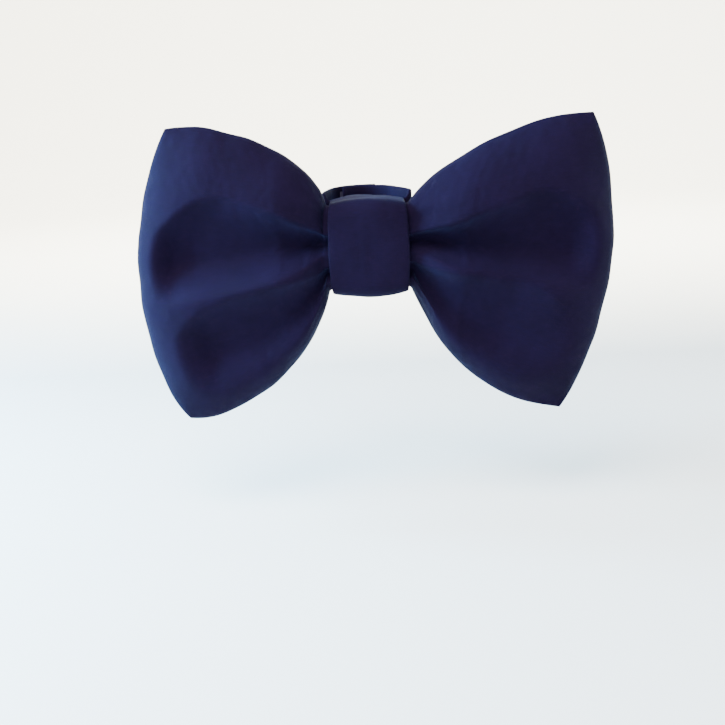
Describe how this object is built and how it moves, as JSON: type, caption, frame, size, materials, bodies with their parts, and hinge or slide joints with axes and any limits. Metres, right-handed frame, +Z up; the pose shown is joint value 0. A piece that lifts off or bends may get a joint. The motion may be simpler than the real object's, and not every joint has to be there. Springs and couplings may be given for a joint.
{
  "type": "gift bow",
  "caption": "Padded cotton gift bow with two pinched lobes, a wrapped knot and a strap that closes round a post with hook-and-loop tape.",
  "frame": {"origin": "on the axis of the post that the strap closes round, level with the middle of the knot", "axes": "+Z up along the post, +X from the left lobe to the right lobe, -Y towards the bow's front"},
  "size_m": [0.2494, 0.0729, 0.1595],
  "materials": {
    "navy_cotton": "matt plain weave with a faint sheen",
    "interfacing": "matt non-woven",
    "wadding": "matt lofted fibre",
    "thread": "fine spun thread",
    "stiffener": "matt",
    "hook_tape": "rough moulded hooks",
    "loop_tape": "soft brushed loops"
  },
  "bodies": {
    "knot": {"knot_band": "navy_cotton", "knot_band_interfacing": "interfacing", "knot_band_lap": "navy_cotton", "knot_closing_stitches": "thread", "waist_front_pleats": "navy_cotton", "waist_back_pleats": "navy_cotton", "waist_wadding": "wadding", "gathering_thread": "thread", "strap_middle": "navy_cotton", "strap_middle_stiffener": "stiffener"},
    "left_lobe": {"left_front_panel": "navy_cotton", "left_back_panel": "navy_cotton", "left_front_interfacing": "interfacing", "left_back_interfacing": "interfacing", "left_wadding": "wadding", "left_seam_allowance": "navy_cotton"},
    "right_lobe": {"right_front_panel": "navy_cotton", "right_back_panel": "navy_cotton", "right_front_interfacing": "interfacing", "right_back_interfacing": "interfacing", "right_wadding": "wadding", "right_seam_allowance": "navy_cotton"},
    "left_strap": {"left_strap_arm": "navy_cotton", "left_strap_stiffener": "stiffener", "hook_tape": "hook_tape", "hook_tape_stitches": "thread"},
    "right_strap": {"right_strap_arm": "navy_cotton", "right_strap_stiffener": "stiffener", "loop_tape": "loop_tape", "loop_tape_stitches": "thread"}
  },
  "joints": [
    {"name": "left_lobe_bend", "type": "hinge", "parent": "knot", "child": "left_lobe", "pos_m": [-0.02135, -0.0313, 0], "axis": [0, 0, 1], "range_deg": [-6, 12], "stiffness_Nm_per_rad": 0.05},
    {"name": "right_lobe_bend", "type": "hinge", "parent": "knot", "child": "right_lobe", "pos_m": [0.02135, -0.0313, 0], "axis": [0, 0, -1], "range_deg": [-6, 12], "stiffness_Nm_per_rad": 0.05},
    {"name": "left_strap_open", "type": "hinge", "parent": "knot", "child": "left_strap", "pos_m": [-0.0223, -0.01851, 0], "axis": [0, 0, 1], "range_deg": [0, 48]},
    {"name": "right_strap_open", "type": "hinge", "parent": "knot", "child": "right_strap", "pos_m": [0.0223, -0.01851, 0], "axis": [0, 0, -1], "range_deg": [0, 35]}
  ],
  "couplings": [
    {"joint": "right_strap_open", "follows": "left_strap_open", "ratio": 0.72}
  ]
}
